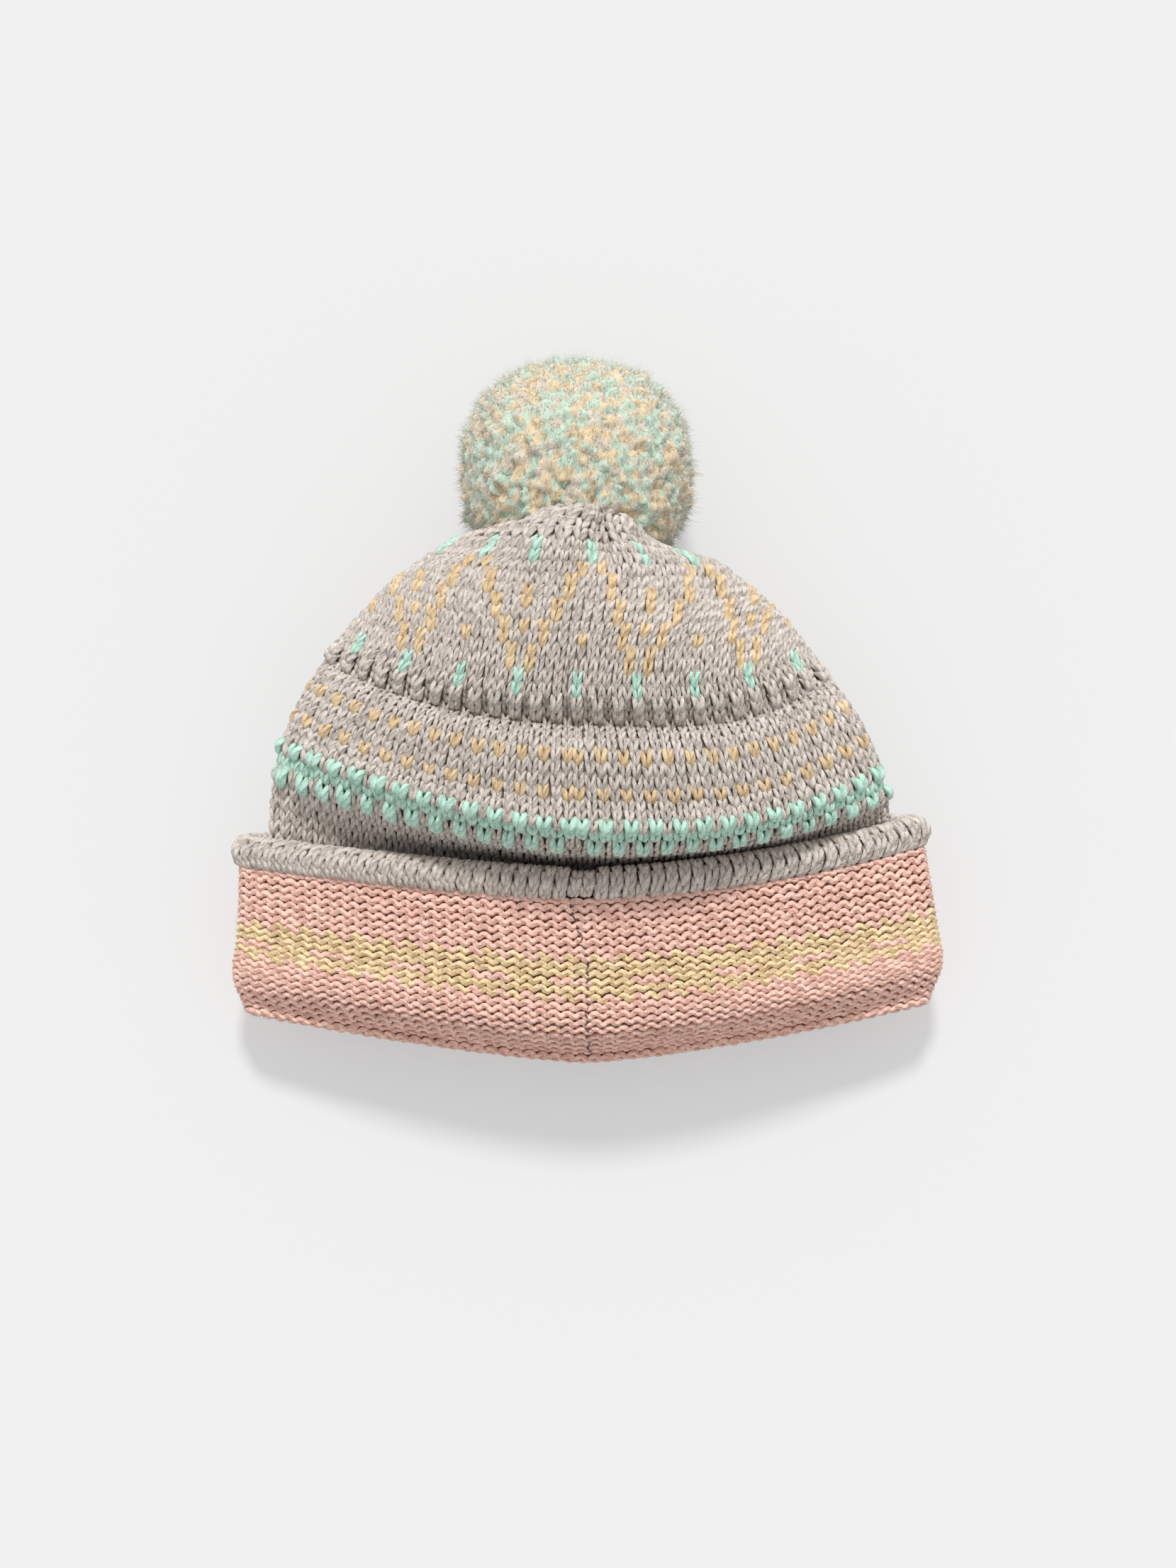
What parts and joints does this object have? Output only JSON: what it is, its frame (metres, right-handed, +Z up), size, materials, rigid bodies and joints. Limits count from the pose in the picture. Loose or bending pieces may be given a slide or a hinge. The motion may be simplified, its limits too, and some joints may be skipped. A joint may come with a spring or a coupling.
{
  "type": "knitted bobble hat",
  "caption": "Knitted bobble hat lying on its front: hollow patterned crown, turned-up contrast cuff with a rolled edge, and a round yarn pompom.",
  "frame": {"origin": "on the surface that the hat lies on, under the middle of the whole hat", "axes": "+X to the right along the cuff, +Y from the mouth towards the pompom, +Z up, out of the back seam"},
  "size_m": [0.2396, 0.2354, 0.081],
  "materials": {
    "knit_taupe": "mottled taupe-grey knitting yarn, matt and slightly hairy",
    "knit_pink": "dusty pink knitting yarn, matt",
    "pompom_yarn": "cut ends of mint, gold and taupe yarn, fluffy"
  },
  "bodies": {
    "root": {"crown": "knit_taupe", "cuff": "knit_pink", "cuff_roll": "knit_taupe", "pompom": "pompom_yarn"}
  },
  "joints": []
}
